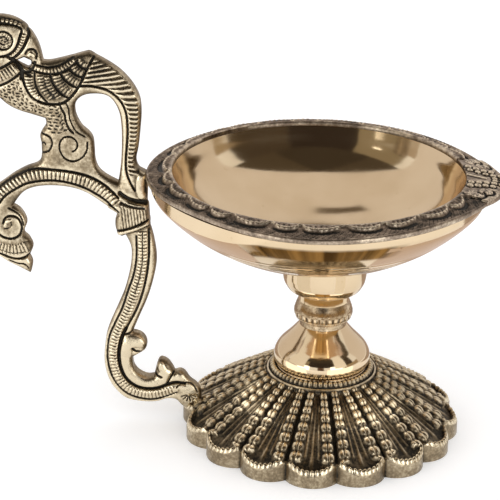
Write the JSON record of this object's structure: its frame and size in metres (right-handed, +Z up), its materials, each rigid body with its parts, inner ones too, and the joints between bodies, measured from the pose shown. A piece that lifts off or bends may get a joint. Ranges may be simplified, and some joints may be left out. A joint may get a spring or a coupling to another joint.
{
  "type": "diya oil lamp",
  "caption": "Footed brass oil lamp: a shallow round bowl with a spouted rim on a turned stem and petalled base, with a scrolled handle topped by a bird.",
  "frame": {"origin": "where the stem's axis meets the surface that the base rests on", "axes": "+Z up along the stem, +X towards the spout, with the handle towards -X and its plane at Y = 0"},
  "size_m": [0.1479, 0.0932, 0.118],
  "materials": {
    "polished_brass": "turned and polished",
    "antique_brass": "cast, antiqued dark in the recesses and rubbed bright on the high spots",
    "patina_brass": "cast, with a dull grey-brown patina",
    "steel": "plain"
  },
  "bodies": {
    "root": {"base_lotus": "antique_brass", "stem_bell": "polished_brass", "stem_ring": "antique_brass", "stem_cup": "polished_brass", "bowl": "polished_brass", "rim_border": "patina_brass", "spout_leaf": "patina_brass", "tie_stud": "steel", "stud_washer": "steel", "stud_nut": "steel", "handle_limb": "antique_brass", "handle_collar": "antique_brass", "handle_arch": "antique_brass", "peacock": "antique_brass", "collar_pin": "steel", "arch_pin": "steel", "perch_pin": "steel", "rim_pin": "steel", "foot_rivet": "steel"}
  },
  "joints": []
}
